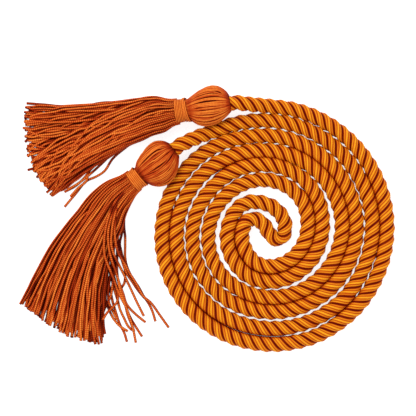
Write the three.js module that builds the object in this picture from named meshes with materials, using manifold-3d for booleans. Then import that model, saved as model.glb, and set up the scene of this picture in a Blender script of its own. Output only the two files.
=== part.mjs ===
// Honor cord laid flat in a double spiral, with a tassel on each end. Millimetres, +Z up.
// The origin is the middle of the cord's length, on the surface that it lies on.
import * as THREE from "three";
import { mergeVertices } from "three/addons/utils/BufferGeometryUtils.js";
import Module from "manifold-3d";

const wasm = await Module();
wasm.setup();

// Cord
const cordDiameter = 8;
const cordSides = 12; // one side faces down, and the cord lies on it
const ringAngle = 15; // degrees of the spiral between two rings of the cord
const riseLength = 24; // over which each end climbs from the surface to its tassel
const clearance = 0.3; // between pieces that touch

// Yarn binding round the neck of each tassel
const bindingThickness = 1.1;
const bindingRidge = 0.25; // how far each wrap stands out
const neckPast = 3; // neck beyond the binding, inside the root of the skirt

// Tassels
const headGathers = 18;
const gatherDepth = 0.5;
const settle = 0.88; // height of a head over its width, because it is soft and lies on its side
const droop = 4; // degrees that the axis dips from the cord to the skirt
const locksPerSkirt = 11;
const lockSides = 8;
const lockUneven = 0.03; // share of the skirt's length by which the locks' tips differ
const rootSpread = 0.8; // how far out the outer locks start, as a share of the binding's radius
const rootWrap = 64; // degrees round the neck, from its top, where the outer locks start
const looseWidth = 3.2; // of a lock that has come loose and lies beside the skirt
const looseHeight = 1.6;
const looseSteps = 7;
// headShift moves the middle of a head sideways, to its left seen along the heading. A skirt's table
// gives the directions of its two edges, in degrees from the heading, at each share of its length. Its
// leftmost and rightmost locks reach to the shares in ends. A loose lock bends once on its way: it
// starts inside the skirt, and each of its places is a reach and a direction.
const tassels = {
  upper: {
    at: [-47, 65.6], heading: 188.5, headLength: 23.5, headRadius: 11.2, headShift: 0, neckRadius: 6,
    bindingWidth: 8, wraps: 6, skirtLength: 89, ends: { left: 0.97, right: 0.97 },
    skirt: [
      { reach: 0, left: 0, right: 0 },
      { reach: 0.12, left: 9, right: -12 },
      { reach: 0.25, left: 15, right: -10 },
      { reach: 0.5, left: 17, right: -7 },
      { reach: 0.75, left: 18, right: -6.5 },
      { reach: 0.9, left: 19, right: -6.5 },
      { reach: 1, left: 19.5, right: -6.5 },
    ],
    loose: [
      { from: [0.4, 21], bend: [0.68, 30], tip: [0.95, 30.8] },
    ],
  },
  lower: {
    at: [-72.5, 27.4], heading: 218, headLength: 23.5, headRadius: 12.2, headShift: 1, neckRadius: 5.4,
    bindingWidth: 6.6, wraps: 5, skirtLength: 94.5, ends: { left: 0.935, right: 1.02 },
    skirt: [
      { reach: 0, left: 0, right: 0 },
      { reach: 0.12, left: 10, right: -6 },
      { reach: 0.25, left: 22, right: -3.5 },
      { reach: 0.5, left: 27, right: 3.5 },
      { reach: 0.75, left: 32, right: 9.3 },
      { reach: 0.9, left: 35.5, right: 12 },
      { reach: 1, left: 37, right: 13.5 },
    ],
    loose: [
      { from: [0.27, 33], bend: [0.5, 45], tip: [0.88, 62] },
      { from: [0.27, 33], bend: [0.5, 41], tip: [0.9, 55] },
      { from: [0.27, 33], bend: [0.5, 37], tip: [0.95, 49.5] },
    ],
  },
};

// Outline of a head from the cord to the neck: shares of its length and of its radius
const headOutline = [
  { along: 0, radius: 0.36 },
  { along: 0.04, radius: 0.5 },
  { along: 0.1, radius: 0.65 },
  { along: 0.2, radius: 0.82 },
  { along: 0.32, radius: 0.95 },
  { along: 0.47, radius: 1 },
  { along: 0.62, radius: 0.97 },
  { along: 0.78, radius: 0.86 },
  { along: 0.91, radius: 0.69 },
];

// Pile of the skirt: top and underside as shares of the neck's, and how much neighbouring locks overlap
const pile = [
  { reach: 0, top: 1, under: 1, overlap: 1.5 },
  { reach: 0.12, top: 1.02, under: 0.3, overlap: 1.5 },
  { reach: 0.25, top: 0.86, under: 0, overlap: 1.35 },
  { reach: 0.5, top: 0.62, under: 0, overlap: 1.3 },
  { reach: 0.75, top: 0.46, under: 0, overlap: 1.25 },
  { reach: 0.9, top: 0.36, under: 0, overlap: 1.15 },
  { reach: 1, top: 0.2, under: 0, overlap: 0.7 },
];

// Route of the cord, chosen by hand. Each row of an arm is one turn inwards: the distance from the
// origin at every eighth of a turn, clockwise from +Y.
const upperArm = [
  [68.3, 67.8, 67.8, 67.3, 65.1, 62.0, 58.3, 54.9],
  [51.8, 51.0, 50.8, 49.4, 47.0, 44.6, 41.0, 37.1],
  [35.5, 34.2, 31.7, 30.9, 30.1, 25.8, 21.4, 18.5],
  [13.6, 11.3, 10.7],
];
const lowerArm = [
  [60.2, 59.4, 59.4, 58.6, 56.1, 53.3, 49.8, 46.2],
  [43.6, 42.6, 42.5, 40.9, 38.6, 36.0, 32.0, 28.6],
  [27.0, 25.6, 23.3, 22.4, 21.4, 16.6, 12.7],
];
// Ends towards the tassels, and the bend in the middle that joins the arms
const upperLead = [[-11.5, 69.3], [-5.5, 68.7]];
const lowerLead = [[-41.4, 49.4], [-31.2, 53.5], [-16.3, 58.6]];
const middleBend = [
  [9.5, -4.6], [6.8, -6.3], [4.0, -5.6], [2.0, -3.2],
  [0, 0],
  [-2.4, 3.2], [-5.6, 4.9], [-9.0, 4.9], [-11.6, 3.1],
];

const radians = THREE.MathUtils.degToRad;

// Value of a column at a place between two rows of a table
function between(rows, key, place, column) {
  const i = Math.max(1, rows.findIndex((row) => row[key] >= place));
  const [a, b] = [rows[i - 1], rows[i]];
  return THREE.MathUtils.mapLinear(place, a[key], b[key], a[column], b[column]);
}

// Points of one arm of the spiral, from its outer end inwards
function armPoints(arm) {
  const radii = arm.flat();
  const ringsPerEighth = Math.round(45 / ringAngle);
  const curve = new THREE.CatmullRomCurve3(
    radii.map((radius, i) => new THREE.Vector3(i, radius, 0)),
  );
  const points = [];
  for (let i = 0; i <= (radii.length - 1) * ringsPerEighth; i++) {
    const at = curve.getPoint(i / ((radii.length - 1) * ringsPerEighth));
    const angle = radians(90 - 45 * at.x);
    points.push(new THREE.Vector3(at.y * Math.cos(angle), at.y * Math.sin(angle), 0));
  }
  return points;
}

// The cord's route: a ring stands at each of its points, and its section stays upright
class LaidRoute extends THREE.CatmullRomCurve3 {
  getUtoTmapping(u) {
    return u;
  }

  computeFrenetFrames(segments) {
    const frames = { tangents: [], normals: [], binormals: [] };
    const up = new THREE.Vector3(0, 0, 1);
    for (let i = 0; i <= segments; i++) {
      const tangent = this.getTangent(i / segments);
      const binormal = new THREE.Vector3().crossVectors(tangent, up).normalize();
      frames.tangents.push(tangent);
      frames.normals.push(new THREE.Vector3().crossVectors(binormal, tangent));
      frames.binormals.push(binormal);
    }
    return frames;
  }
}

// Distance from a tassel's binding back to the widest place of its head, and the binding's height
function headMiddle(tassel) {
  const widest = headOutline.find((row) => row.radius === 1);
  return tassel.bindingWidth / 2 + tassel.headLength * (1 - widest.along);
}

function neckHeight(tassel) {
  return tassel.headRadius * settle - headMiddle(tassel) * Math.sin(radians(droop));
}

// Point on a tassel's axis, a distance from its binding towards the skirt
function onAxis(tassel, distance) {
  const heading = radians(tassel.heading);
  const level = distance * Math.cos(radians(droop));
  return new THREE.Vector3(
    tassel.at[0] + level * Math.cos(heading),
    tassel.at[1] + level * Math.sin(heading),
    neckHeight(tassel) - distance * Math.sin(radians(droop)),
  );
}

// Last points of the cord, straight into the head of a tassel
function entry(tassel) {
  const face = tassel.bindingWidth / 2 + tassel.headLength + clearance;
  return [onAxis(tassel, -face), onAxis(tassel, -face - cordDiameter / 4)];
}

// Lays a run of the route on the surface, climbing towards the end that it comes from
function lay(run, from) {
  const lying = (cordDiameter / 2) * Math.cos(Math.PI / cordSides);
  let travelled = 0;
  let last = from;
  for (const point of run) {
    travelled += Math.hypot(point.x - last.x, point.y - last.y);
    last = point;
    point.z = lying + (from.z - lying) * (1 - THREE.MathUtils.smoothstep(travelled, 0, riseLength));
  }
  return run;
}

// Whole route from the upper tassel to the lower one
function cordRoute() {
  const level = (list) => list.map(([x, y]) => new THREE.Vector3(x, y, 0));
  const start = entry(tassels.upper);
  const end = entry(tassels.lower);
  const upperRun = lay([...level(upperLead), ...armPoints(upperArm), ...level(middleBend)], start[1]);
  const lowerRun = lay([...level(lowerLead), ...armPoints(lowerArm)], end[1]);
  return [...start, ...upperRun, ...lowerRun.reverse(), ...end.reverse()];
}

function cordMesh() {
  const points = cordRoute();
  const section = new THREE.Shape();
  for (let i = 0; i < cordSides; i++) {
    const angle = ((i + 0.5) * 2 * Math.PI) / cordSides;
    const [x, y] = [(cordDiameter / 2) * Math.cos(angle), (cordDiameter / 2) * Math.sin(angle)];
    if (i === 0) section.moveTo(x, y);
    else section.lineTo(x, y);
  }
  const route = new LaidRoute(points);
  const geometry = new THREE.ExtrudeGeometry(section, { extrudePath: route, steps: points.length - 1 });
  return new THREE.Mesh(geometry, cordYarn);
}

// Closed geometry as a solid, and a solid as geometry
function solidOf(geometry) {
  const bare = geometry.clone();
  bare.deleteAttribute("normal");
  bare.deleteAttribute("uv");
  const merged = mergeVertices(bare, 1e-4);
  return new wasm.Manifold(
    new wasm.Mesh({
      numProp: 3,
      vertProperties: merged.attributes.position.array,
      triVerts: new Uint32Array(merged.index.array),
    }),
  );
}

function geometryOf(solid) {
  const { vertProperties, triVerts } = solid.getMesh();
  const geometry = new THREE.BufferGeometry();
  geometry.setAttribute("position", new THREE.BufferAttribute(vertProperties, 3));
  geometry.setIndex(new THREE.BufferAttribute(triVerts, 1));
  geometry.computeVertexNormals();
  return geometry;
}

// Head and neck of a tassel in its own frame, +X towards the skirt, gathered where the yarns are drawn in
function headSolid(tassel) {
  const start = tassel.bindingWidth / 2 + tassel.headLength;
  const rows = headOutline.map(({ along, radius }) => [
    tassel.headRadius * radius,
    along * tassel.headLength - start,
  ]);
  rows.unshift([0, -start]);
  rows.push([tassel.neckRadius, -tassel.bindingWidth / 2]);
  rows.push([tassel.neckRadius, tassel.bindingWidth / 2 + neckPast]);
  rows.push([0, tassel.bindingWidth / 2 + neckPast]);
  const profile = rows.map(([radius, along]) => new THREE.Vector2(radius, along));
  const geometry = new THREE.LatheGeometry(profile, headGathers * 2);
  const position = geometry.attributes.position;
  const middle = -headMiddle(tassel);
  for (let i = 0; i < position.count; i++) {
    const [x, y, z] = [position.getX(i), position.getY(i), position.getZ(i)];
    const turn = (Math.atan2(x, z) / (2 * Math.PI)) * headGathers;
    const swell = Math.max(0, 1 - Math.abs(y - middle) / (tassel.headLength / 2));
    const radius = Math.max(Math.hypot(x, z), cordDiameter / 4);
    const gather = 1 - (gatherDepth * swell * (0.5 - 0.5 * Math.cos(2 * Math.PI * turn))) / radius;
    const flatter = 1 - (1 - settle) * Math.min(1, 2 * swell);
    position.setXYZ(i, x * gather + tassel.headShift * swell, y, z * gather * flatter);
  }
  geometry.rotateZ(-Math.PI / 2);
  geometry.rotateX(Math.PI);
  geometry.rotateY(radians(droop));
  geometry.translate(0, 0, neckHeight(tassel));
  for (let i = 0; i < position.count; i++) position.setZ(i, Math.max(0, position.getZ(i)));
  return solidOf(geometry);
}

// Lock through stations, each with its middle, half its width, and the heights of its underside and top
function lockAlong(stations) {
  const last = stations.length - 1;
  const turned = Math.PI / lockSides;
  const geometry = new THREE.CylinderGeometry(1, 1, last, lockSides, last, false, turned);
  const position = geometry.attributes.position;
  for (let i = 0; i < position.count; i++) {
    const k = Math.round(last / 2 - position.getY(i));
    const { middle, half, under, top } = stations[k];
    const behind = stations[Math.max(k - 1, 0)].middle;
    const ahead = stations[Math.min(k + 1, last)].middle.clone().sub(behind).normalize();
    const lateral = position.getX(i) * half;
    position.setXYZ(
      i,
      middle.x - ahead.y * lateral,
      middle.y + ahead.x * lateral,
      (top + under) / 2 + (position.getZ(i) * (top - under)) / 2 / Math.cos(turned),
    );
  }
  return solidOf(geometry);
}

// One lock of a skirt: across runs from -1 at the right edge to 1 at the left edge
function skirtLock(tassel, across, index) {
  const bindingRadius = tassel.neckRadius + clearance + bindingThickness;
  const end = across > 0 ? tassel.ends.left : tassel.ends.right;
  const trim = 1 + (end - 1) * across ** 4;
  const length = tassel.skirtLength * trim * (1 + lockUneven * Math.sin(index * index));
  const height = neckHeight(tassel);
  const rise = tassel.neckRadius * Math.cos(radians(rootWrap * across));
  const root = tassel.bindingWidth / 2 + bindingRadius * Math.sin(radians(droop)) + clearance;
  return lockAlong(pile.map((row) => {
    const left = between(tassel.skirt, "reach", row.reach, "left");
    const right = between(tassel.skirt, "reach", row.reach, "right");
    const angle = radians(THREE.MathUtils.mapLinear(across, -1, 1, right, left));
    const out = root + row.reach * (length - root);
    const start = across * bindingRadius * rootSpread;
    const width = 2 * bindingRadius * rootSpread + row.reach * length * radians(left - right);
    return {
      middle: new THREE.Vector2(out * Math.cos(angle), out * Math.sin(angle) + start),
      half: (row.overlap * width) / (2 * (locksPerSkirt - 1)),
      under: row.under * (height - rise),
      top: row.top * (height + rise),
    };
  }));
}

function looseLock(tassel, { from, bend, tip }) {
  const place = ([reach, direction]) => {
    const angle = radians(direction);
    return new THREE.Vector2(Math.cos(angle), Math.sin(angle)).multiplyScalar(reach * tassel.skirtLength);
  };
  const route = new THREE.QuadraticBezierCurve(place(from), place(bend), place(tip));
  return lockAlong(route.getPoints(looseSteps).map((middle) => (
    { middle, half: looseWidth / 2, under: 0, top: looseHeight }
  )));
}

function tasselMesh(tassel) {
  let solid = headSolid(tassel);
  for (let i = 0; i < locksPerSkirt; i++) {
    solid = solid.add(skirtLock(tassel, (2 * i) / (locksPerSkirt - 1) - 1, i));
  }
  for (const row of tassel.loose) solid = solid.add(looseLock(tassel, row));
  return new THREE.Mesh(geometryOf(solid), tasselYarn);
}

// Wound ring round the neck, with a ridge for each wrap
function bindingMesh(tassel) {
  const inner = tassel.neckRadius + clearance;
  const wrap = tassel.bindingWidth / tassel.wraps;
  const profile = [new THREE.Vector2(inner, -tassel.bindingWidth / 2)];
  for (let i = 0; i < tassel.wraps; i++) {
    const from = -tassel.bindingWidth / 2 + i * wrap;
    profile.push(new THREE.Vector2(inner + bindingThickness - bindingRidge, from));
    profile.push(new THREE.Vector2(inner + bindingThickness, from + wrap / 2));
  }
  profile.push(new THREE.Vector2(inner + bindingThickness - bindingRidge, tassel.bindingWidth / 2));
  profile.push(new THREE.Vector2(inner, tassel.bindingWidth / 2));
  profile.push(profile[0].clone());
  const geometry = new THREE.LatheGeometry(profile, 24);
  geometry.rotateZ(-Math.PI / 2);
  return new THREE.Mesh(geometry, tasselYarn);
}

const cordYarn = new THREE.MeshStandardMaterial({ color: 0xd9780f, roughness: 0.5, metalness: 0 });
const tasselYarn = new THREE.MeshStandardMaterial({ color: 0xd4591a, roughness: 0.6, metalness: 0 });

const honorCord = new THREE.Group();
const cord = cordMesh();
cord.name = "cord";
honorCord.add(cord);
for (const [side, tassel] of Object.entries(tassels)) {
  const frame = new THREE.Group();
  frame.position.set(tassel.at[0], tassel.at[1], 0);
  frame.rotation.z = radians(tassel.heading);
  const body = tasselMesh(tassel);
  body.name = `tassel_${side}`;
  const binding = bindingMesh(tassel);
  binding.name = `tassel_${side}_binding`;
  binding.position.z = neckHeight(tassel);
  binding.rotation.y = radians(droop);
  frame.add(body, binding);
  honorCord.add(frame);
}

export default honorCord;
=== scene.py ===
# Honor cord laid flat in a double spiral, with a tassel on each end
import math

import bpy
import numpy as np
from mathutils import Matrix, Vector


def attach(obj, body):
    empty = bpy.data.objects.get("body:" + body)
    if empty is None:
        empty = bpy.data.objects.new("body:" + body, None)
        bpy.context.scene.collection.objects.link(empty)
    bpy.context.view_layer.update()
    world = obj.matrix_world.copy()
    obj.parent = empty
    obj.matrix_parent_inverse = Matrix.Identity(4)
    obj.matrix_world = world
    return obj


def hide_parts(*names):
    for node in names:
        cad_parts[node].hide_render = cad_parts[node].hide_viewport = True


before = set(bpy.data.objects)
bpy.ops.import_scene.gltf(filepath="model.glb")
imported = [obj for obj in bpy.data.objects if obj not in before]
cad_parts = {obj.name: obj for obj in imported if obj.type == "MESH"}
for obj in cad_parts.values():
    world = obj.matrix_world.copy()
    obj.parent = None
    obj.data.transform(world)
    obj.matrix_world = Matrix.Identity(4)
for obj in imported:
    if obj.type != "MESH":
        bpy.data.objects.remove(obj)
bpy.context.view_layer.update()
mm = 0.001  # the tables below are in millimetres, and every mesh is in metres
tiny = 1e-6  # keeps divisions clear of zero
dice = np.random.default_rng(7)
print("frame loaded:", sorted(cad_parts))


def addObject(name, data):
    made = bpy.data.objects.new(name, data)
    bpy.context.collection.objects.link(made)
    return made


# camera, straight above the coil as in the photograph
cameraSetup = {
    "lookAt": (-32.5, 11.2, 4.0),  # centre of the picture
    "distance": 1400.0,
    "widthSeen": 233.0,
    "sensorWidth": 36.0,
    "clipEnd": 20.0,  # metres
}


def makeCamera(setup):
    data = bpy.data.cameras.new("camera")
    data.sensor_width = setup["sensorWidth"]
    data.lens = setup["sensorWidth"] * setup["distance"] / setup["widthSeen"]
    data.clip_end = setup["clipEnd"]
    camera = addObject("camera", data)
    x, y, z = setup["lookAt"]
    camera.location = (x * mm, y * mm, (z + setup["distance"]) * mm)
    bpy.context.scene.camera = camera


makeCamera(cameraSetup)
print("camera ready")


# smooth curve through points, centripetal, with perSpan steps between two points
def throughPoints(points, perSpan):
    p = np.asarray(points, float)
    p = np.vstack([2 * p[0] - p[1], p, 2 * p[-1] - p[-2]])
    steps = np.linspace(0, 1, perSpan, endpoint=False)[:, None]
    spans = []
    for a, b, c, d in zip(p, p[1:], p[2:], p[3:]):
        ab, bc, cd = (math.sqrt(np.linalg.norm(v)) or tiny for v in (b - a, c - b, d - c))
        leave = ((b - a) / ab - (c - a) / (ab + bc) + (c - b) / bc) * bc
        arrive = ((c - b) / bc - (d - b) / (bc + cd) + (d - c) / cd) * bc
        cubic = 2 * b - 2 * c + leave + arrive
        square = -3 * b + 3 * c - 2 * leave - arrive
        spans.append(b + leave * steps + square * steps**2 + cubic * steps**3)
    return np.vstack(spans + [p[-2:-1]])


# the same curve at even steps along its length
def evenly(points, count):
    run = np.concatenate([[0], np.cumsum(np.linalg.norm(np.diff(points, axis=0), axis=1))])
    at = np.linspace(0, run[-1], count)
    return np.stack([np.interp(at, run, points[:, i]) for i in range(3)], axis=1)


# value of a table's column at any place, with the corners rounded off over a tenth of the table
def tableAt(rows, column, place):
    fine = np.linspace(-0.1, 1.4, 301)
    values = np.interp(fine, [row[0] for row in rows], [row[column] for row in rows])
    rounding = np.hanning(23)
    padded = np.pad(values, len(rounding) // 2, mode="edge")
    return np.interp(place, fine, np.convolve(padded, rounding / rounding.sum(), mode="valid"))


def unit(vectors):
    return vectors / np.maximum(np.linalg.norm(vectors, axis=-1, keepdims=True), tiny)


# two directions at right angles to each of many paths, carried along it without twist: the first
# one starts as near to upright as it can, or to +X where a path itself starts steep
def framesAlong(paths):
    tangents = unit(np.gradient(paths, axis=1))
    normals = np.empty_like(paths)
    steep = np.abs(tangents[:, 0, 2:]) > 0.8
    normal = np.where(steep, [1.0, 0, 0], [0, 0, 1.0])
    for k in range(paths.shape[1]):
        along = tangents[:, k]
        normal = unit(normal - np.sum(normal * along, axis=1, keepdims=True) * along)
        normals[:, k] = normal
    return normals, np.cross(tangents, normals)


yarnMap = {
    "unit": 10.0,  # millimetres along a yarn for one unit of V
    "stagger": 37.0,  # millimetres by which each yarn's fibres start after the last one's
}


# closed tubes in one mesh: paths are tubes x rings x 3, offsets are tubes x rings x sides x 2
def tubeObject(name, paths, normals, sideways, offsets, cavity):
    tubes, rings, sides = offsets.shape[:3]
    spread = normals[:, :, None] * offsets[..., :1] + sideways[:, :, None] * offsets[..., 1:]
    vertices = (paths[:, :, None] + spread) * mm
    index = np.arange(tubes * rings * sides).reshape(tubes, rings, sides)
    following = np.roll(index, -1, axis=2)
    quads = np.stack([index[:, :-1], following[:, :-1], following[:, 1:], index[:, 1:]], axis=-1)
    quads = quads.reshape(-1, 4)
    caps = np.concatenate([index[:, 0, ::-1], index[:, -1]])
    sizes = np.concatenate([np.full(len(quads), 4), np.full(len(caps), sides)])
    mesh = bpy.data.meshes.new(name)
    mesh.vertices.add(vertices.size // 3)
    mesh.vertices.foreach_set("co", vertices.astype(np.float32).ravel())
    corners = np.concatenate([quads.ravel(), caps.ravel()])
    mesh.loops.add(corners.size)
    mesh.loops.foreach_set("vertex_index", corners.astype(np.int32))
    mesh.polygons.add(len(sizes))
    mesh.polygons.foreach_set("loop_start", (np.cumsum(sizes) - sizes).astype(np.int32))
    mesh.update(calc_edges=True)
    mesh.shade_smooth()

    # the UV map runs once round a yarn in U, and along it in V
    run = np.cumsum(np.linalg.norm(np.diff(paths, axis=1, prepend=paths[:, :1]), axis=2), axis=1)
    run = (run + yarnMap["stagger"] * np.arange(tubes)[:, None]) / yarnMap["unit"]
    u = np.broadcast_to(np.arange(sides) / sides, (tubes, rings - 1, sides))
    v = np.broadcast_to(run[:, :, None], (tubes, rings, sides))
    near, far = v[:, :-1], v[:, 1:]
    uv = np.stack([u, near, u + 1 / sides, near, u + 1 / sides, far, u, far], axis=-1)
    uv = np.concatenate([uv.ravel(), np.zeros(caps.size * 2)])
    mesh.uv_layers.new(name="yarn").data.foreach_set("uv", uv.astype(np.float32))
    # painted shade of each point, 0 for none and 1 for the darkest
    attribute = mesh.attributes.new("cavity", "FLOAT", "POINT")
    attribute.data.foreach_set("value", np.broadcast_to(cavity, index.shape).astype(np.float32).ravel())
    return addObject(name, mesh)


# yarns of round section with painted shade: depth is the painted shade for lying deep in the pile, 0 on
# top and 1 deep inside, outward points out of the pile, and a yarn's sides that turn away from it get
# up to sideShade more painted shade than its face
def roundYarns(name, paths, radii, sides, depth, outward, sideShade):
    turn = np.arange(sides) * 2 * math.pi / sides
    ring = np.stack([np.cos(turn), np.sin(turn)], axis=-1)
    normals, sideways = framesAlong(paths)
    facing = np.sum(normals * outward, axis=-1, keepdims=True)
    across = np.sum(sideways * outward, axis=-1, keepdims=True)
    turnedAway = np.clip(1 - facing * ring[:, 0] - across * ring[:, 1], 0, 1.3)
    cavity = np.clip(depth[..., None] + sideShade * turnedAway ** 1.2, 0, 1)
    return tubeObject(name, paths, normals, sideways, radii[:, :, None, None] * ring, cavity)


# sizes of the tassels, the same as in the part's source, in millimetres and degrees
tassels = {
    "upper": {
        "at": (-47, 65.6), "heading": 188.5, "headLength": 23.5, "headRadius": 11.2, "neckRadius": 6.0,
        "bindingWidth": 8.0, "skirtLength": 89.0, "leftEnd": 0.93, "rightEnd": 0.965,
        "skirt": [  # reach, then the directions of the left and right edges
            (0, 0, 0), (0.12, 9, -12), (0.25, 15, -10), (0.5, 17, -7), (0.75, 18, -6.5),
            (0.9, 19, -6.5), (1, 19.5, -6.5),
        ],
    },
    "lower": {
        "at": (-72.5, 27.4), "heading": 218, "headLength": 23.5, "headRadius": 12.2, "neckRadius": 5.4,
        "bindingWidth": 6.6, "skirtLength": 94.5, "leftEnd": 0.91, "rightEnd": 1.01,
        "skirt": [
            (0, 0, 0), (0.12, 10, -6), (0.25, 22, -3.5), (0.5, 27, 3.5), (0.75, 32, 9.3),
            (0.9, 35.5, 12), (1, 37, 13.5),
        ],
    },
}
headOutline = [  # share of the head's length from the cord, share of its radius
    (0, 0.36), (0.04, 0.5), (0.1, 0.65), (0.2, 0.82), (0.32, 0.95), (0.47, 1), (0.62, 0.97),
    (0.78, 0.86), (0.91, 0.69),
]
pile = [  # reach along the skirt, top and underside as shares of the neck's
    (0, 1, 1), (0.12, 1.02, 0.3), (0.25, 0.86, 0), (0.5, 0.62, 0), (0.75, 0.46, 0), (0.9, 0.36, 0),
    (1, 0.2, 0),
]
settle = 0.88  # height of a head over its width
droop = math.radians(4)  # the axis dips this much from the cord to the skirt
clearance = 0.3  # between pieces that touch
bindingReach = 1.4  # from the neck to the outside of its binding
rootSpread = 0.8  # how far out the outer yarns of a skirt start, as a share of the binding's radius
rootWrap = math.radians(64)  # round the neck, from its top, where they start


def neckHeight(tassel):
    widestShare = max(headOutline, key=lambda row: row[1])[0]
    middle = tassel["bindingWidth"] / 2 + tassel["headLength"] * (1 - widestShare)
    return tassel["headRadius"] * settle - middle * math.sin(droop)


# middle of the binding to the far end of the head, where the cord comes in
def headEnd(tassel):
    return tassel["bindingWidth"] / 2 + tassel["headLength"]


# directions in a tassel's own frame, +X towards the skirt, in the cord's
def turned(tassel, directions):
    turn = math.radians(tassel["heading"])
    x, y, z = np.moveaxis(np.asarray(directions, float), -1, 0)
    return np.stack([
        x * math.cos(turn) - y * math.sin(turn),
        x * math.sin(turn) + y * math.cos(turn),
        z,
    ], axis=-1)


# points in that frame, in the cord's
def placed(tassel, points):
    return turned(tassel, points) + np.array([*tassel["at"], 0])


# from the drooping axis through the binding to the tassel's frame
def drooped(tassel, points):
    x, y, z = np.moveaxis(np.asarray(points, float), -1, 0)
    return np.stack([
        x * math.cos(droop) + z * math.sin(droop),
        y,
        neckHeight(tassel) - x * math.sin(droop) + z * math.cos(droop),
    ], axis=-1)


# cord: three plies twisted right-handed, each of several yarns
cordLook = {
    "diameter": 8.2,
    "fullness": 1.09,  # how far the plies' faces stand out past that
    "plies": 3,
    "lay": 18.5,  # length of one whole turn of the twist
    "plyOffset": 1.6,  # middle of a ply's rounded face from the cord's middle
    "yarnsPerPly": 3,
    "pointsPerYarn": 6,
    "yarnDepth": 0.34,
    "yarnFlatness": 0.8,  # 1 for a rounded yarn, less for a flatter one
    "yarnLine": 0.52,  # how dark the painted shade in the lines between yarns is
    "yarnShades": (0.05, 0.0, 0.03),
    "grooveShade": 2.4,  # how dark the grooves between plies are, and how fast they darken inwards
    "grooveSteepness": 3.4,
    "grooveAtSides": 0.4,  # share of that shade on the cord's sides, where all of it is on top
    "underShade": 0.8,
    "rings": 1600,
    "sinking": 0.05,  # how far the cord's lowest yarns flatten on the surface
    "tuckedIn": 4.0,  # how far each end goes into its tassel
    "riseLength": 24.0,  # over which each end climbs from the surface to its tassel
    "pressedRadius": 4.5,  # how far the grooves fill out where two turns press together
    "pressedShade": 1.1,
}
# where turns press together, in eighths of a turn inwards along an arm: the upper arm's inner side
# meets the lower arm's outer side, and its outer side meets the lower arm's inner side one turn on
pressedTogether = [(1.3, 2.4), (2.7, 3.3), (3.6, 6.4), (8.3, 12.6), (16.9, 22.5)]
pressedTurnOn = [(6.9, 8.5)]
pressedEnds = 0.2  # eighths of a turn over which the pressing sets in
# route: each row of an arm is one turn inwards, the distance from the origin at
# every eighth of a turn, clockwise from +Y
upperArm = [
    68.3, 67.8, 67.8, 67.3, 65.1, 62.0, 58.3, 54.9,
    51.8, 51.0, 50.8, 49.4, 47.0, 44.6, 41.0, 37.1,
    35.5, 34.2, 31.7, 30.9, 30.1, 25.8, 21.4, 18.5,
    13.6, 11.3, 10.7,
]
lowerArm = [
    60.2, 59.4, 59.4, 58.6, 56.1, 53.3, 49.8, 46.2,
    43.6, 42.6, 42.5, 40.9, 38.6, 36.0, 32.0, 28.6,
    27.0, 25.6, 23.3, 22.4, 21.4, 16.6, 12.7,
]
upperLead = [(-11.5, 69.3), (-5.5, 68.7)]
lowerLead = [(-41.4, 49.4), (-31.2, 53.5), (-16.3, 58.6)]
middleBend = [
    (9.5, -4.6), (6.8, -6.3), (4.0, -5.6), (2.0, -3.2),
    (0, 0),
    (-2.4, 3.2), (-5.6, 4.9), (-9.0, 4.9), (-11.6, 3.1),
]


def armPoints(radii):
    spiral = throughPoints([(i, radius, 0) for i, radius in enumerate(radii)], 3)
    angle = np.radians(90 - 45 * spiral[:, 0])
    return np.stack([spiral[:, 1] * np.cos(angle), spiral[:, 1] * np.sin(angle), 0 * angle], axis=1)


def level(points):
    return np.array([(x, y, 0) for x, y in points], float)


# lays a run on the surface, climbing towards the end that it comes from
def laid(run, start, riseLength, lying):
    steps = np.linalg.norm(np.diff(np.vstack([start, run])[:, :2], axis=0), axis=1)
    share = np.clip(np.cumsum(steps) / riseLength, 0, 1)
    run[:, 2] = lying + (start[2] - lying) * (1 - share**2 * (3 - 2 * share))
    return run


def cordRoute(look):
    lying = look["diameter"] * look["fullness"] / 2 - look["sinking"]
    ends = []
    for tassel in tassels.values():
        face = headEnd(tassel) + clearance
        axis = [(-face + look["tuckedIn"], 0, 0), (-face, 0, 0), (-face - 2, 0, 0)]
        ends.append(placed(tassel, drooped(tassel, axis)))
    upperRun = np.vstack([level(upperLead), armPoints(upperArm), level(middleBend)])
    lowerRun = np.vstack([level(lowerLead), armPoints(lowerArm)])
    upperRun = laid(upperRun, ends[0][-1], look["riseLength"], lying)
    lowerRun = laid(lowerRun, ends[1][-1], look["riseLength"], lying)
    points = np.vstack([ends[0], upperRun, lowerRun[::-1], ends[1][::-1]])
    path = evenly(throughPoints(points, 24), look["rings"])
    for _ in range(2):
        path[1:-1] = (path[:-2] + 2 * path[1:-1] + path[2:]) / 4
    return evenly(path, look["rings"])


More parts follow.
